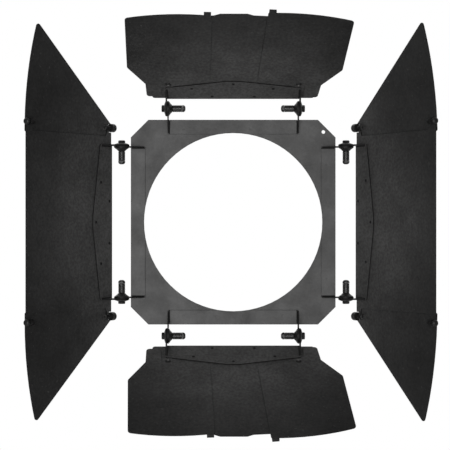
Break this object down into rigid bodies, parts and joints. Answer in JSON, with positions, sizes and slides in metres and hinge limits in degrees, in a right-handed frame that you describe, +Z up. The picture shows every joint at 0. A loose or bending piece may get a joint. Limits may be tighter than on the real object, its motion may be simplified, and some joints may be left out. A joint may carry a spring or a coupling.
{
  "type": "spotlight barn doors",
  "caption": "Square slot-in plate with a round aperture, four friction-hinged leaves, folding side wings and fan wings that shape a spotlight's beam.",
  "frame": {"origin": "centre of the round aperture, on the plate's flat back face", "axes": "+Z up, +X to the viewer's right seen from the front, light leaves towards -Y, +Y points back into the lamp"},
  "size_m": [0.4603, 0.1509, 0.4762],
  "materials": {
    "frame_black": "matt black heat-resistant paint, rubbed slightly grey",
    "leaf_black": "matt black heat-resistant paint, faint mottling",
    "hinge_black": "satin black, worn at the rims",
    "spring_steel": "blackened spring steel",
    "dark_steel": "blackened steel with bright worn crowns"
  },
  "bodies": {
    "frame": {"frame_plate": "frame_black", "top_hinge_strip": "frame_black", "top_hinge_bolt_right": "hinge_black", "top_hinge_spring_right": "spring_steel", "top_hinge_locknut_right": "dark_steel", "top_hinge_bolt_left": "hinge_black", "top_hinge_spring_left": "spring_steel", "top_hinge_locknut_left": "dark_steel", "right_hinge_strip": "frame_black", "right_hinge_bolt_lower": "hinge_black", "right_hinge_spring_lower": "spring_steel", "right_hinge_locknut_lower": "dark_steel", "right_hinge_bolt_upper": "hinge_black", "right_hinge_spring_upper": "spring_steel", "right_hinge_locknut_upper": "dark_steel", "bottom_hinge_strip": "frame_black", "bottom_hinge_bolt_left": "hinge_black", "bottom_hinge_spring_left": "spring_steel", "bottom_hinge_locknut_left": "dark_steel", "bottom_hinge_bolt_right": "hinge_black", "bottom_hinge_spring_right": "spring_steel", "bottom_hinge_locknut_right": "dark_steel", "left_hinge_strip": "frame_black", "left_hinge_bolt_upper": "hinge_black", "left_hinge_spring_upper": "spring_steel", "left_hinge_locknut_upper": "dark_steel", "left_hinge_bolt_lower": "hinge_black", "left_hinge_spring_lower": "spring_steel", "left_hinge_locknut_lower": "dark_steel"},
    "top_leaf": {"top_leaf_panel": "leaf_black", "top_leaf_bracket": "leaf_black", "top_wing_rivet_right": "dark_steel", "top_wing_rivet_left": "dark_steel"},
    "top_wing_right": {"top_wing_right": "leaf_black"},
    "top_wing_left": {"top_wing_left": "leaf_black"},
    "right_leaf": {"right_leaf_panel": "leaf_black", "right_leaf_bracket": "leaf_black", "right_wing_barrel_lower": "hinge_black", "right_wing_pin_lower": "hinge_black", "right_wing_barrel_upper": "hinge_black", "right_wing_pin_upper": "hinge_black"},
    "right_wing_lower": {"right_wing_lower": "leaf_black"},
    "right_wing_upper": {"right_wing_upper": "leaf_black"},
    "bottom_leaf": {"bottom_leaf_panel": "leaf_black", "bottom_leaf_bracket": "leaf_black", "bottom_wing_rivet_left": "dark_steel", "bottom_wing_rivet_right": "dark_steel"},
    "bottom_wing_left": {"bottom_wing_left": "leaf_black"},
    "bottom_wing_right": {"bottom_wing_right": "leaf_black"},
    "left_leaf": {"left_leaf_panel": "leaf_black", "left_leaf_bracket": "leaf_black", "left_wing_barrel_upper": "hinge_black", "left_wing_pin_upper": "hinge_black", "left_wing_barrel_lower": "hinge_black", "left_wing_pin_lower": "hinge_black"},
    "left_wing_upper": {"left_wing_upper": "leaf_black"},
    "left_wing_lower": {"left_wing_lower": "leaf_black"}
  },
  "joints": [
    {"name": "top_leaf_hinge", "type": "hinge", "parent": "frame", "child": "top_leaf", "pos_m": [0, -0.0106, 0.1352], "axis": [1, 0, 0], "range_deg": [-69, 115]},
    {"name": "top_right_wing_swing", "type": "hinge", "parent": "top_leaf", "child": "top_wing_right", "pos_m": [0.0767, -0.03562, 0.1619], "axis": [0, -0.515, -0.8572], "range_deg": [-3.4, 8.1]},
    {"name": "top_left_wing_swing", "type": "hinge", "parent": "top_leaf", "child": "top_wing_left", "pos_m": [-0.0767, -0.03562, 0.1619], "axis": [0, 0.515, 0.8572], "range_deg": [-9.5, 2]},
    {"name": "right_leaf_hinge", "type": "hinge", "parent": "frame", "child": "right_leaf", "pos_m": [0.1343, -0.0106, 0], "axis": [0, 0, -1], "range_deg": [-68.9, 51.1]},
    {"name": "right_lower_wing_fold", "type": "hinge", "parent": "right_leaf", "child": "right_wing_lower", "pos_m": [0.14566, -0.01123, -0.112], "axis": [-0.5165, 0.8563, 0], "range_deg": [-2, 168]},
    {"name": "right_upper_wing_fold", "type": "hinge", "parent": "right_leaf", "child": "right_wing_upper", "pos_m": [0.14566, -0.01123, 0.112], "axis": [0.5165, -0.8563, 0], "range_deg": [-3.2, 166.8]},
    {"name": "bottom_leaf_hinge", "type": "hinge", "parent": "frame", "child": "bottom_leaf", "pos_m": [0, -0.0106, -0.1355], "axis": [-1, 0, 0], "range_deg": [-65.6, 123.4]},
    {"name": "bottom_left_wing_swing", "type": "hinge", "parent": "bottom_leaf", "child": "bottom_wing_left", "pos_m": [-0.0767, -0.03399, -0.16364], "axis": [0, -0.565, 0.8251], "range_deg": [-11, 0.5]},
    {"name": "bottom_right_wing_swing", "type": "hinge", "parent": "bottom_leaf", "child": "bottom_wing_right", "pos_m": [0.0767, -0.03399, -0.16364], "axis": [0, 0.565, -0.8251], "range_deg": [-2, 9.5]},
    {"name": "left_leaf_hinge", "type": "hinge", "parent": "frame", "child": "left_leaf", "pos_m": [-0.1328, -0.0106, 0], "axis": [0, 0, 1], "range_deg": [-64.7, 56.3]},
    {"name": "left_upper_wing_fold", "type": "hinge", "parent": "left_leaf", "child": "left_wing_upper", "pos_m": [-0.14417, -0.01039, 0.112], "axis": [0.5779, 0.8161, 0], "range_deg": [-1.4, 168.6]},
    {"name": "left_lower_wing_fold", "type": "hinge", "parent": "left_leaf", "child": "left_wing_lower", "pos_m": [-0.14417, -0.01039, -0.112], "axis": [-0.5779, -0.8161, 0], "range_deg": [0, 170]}
  ]
}
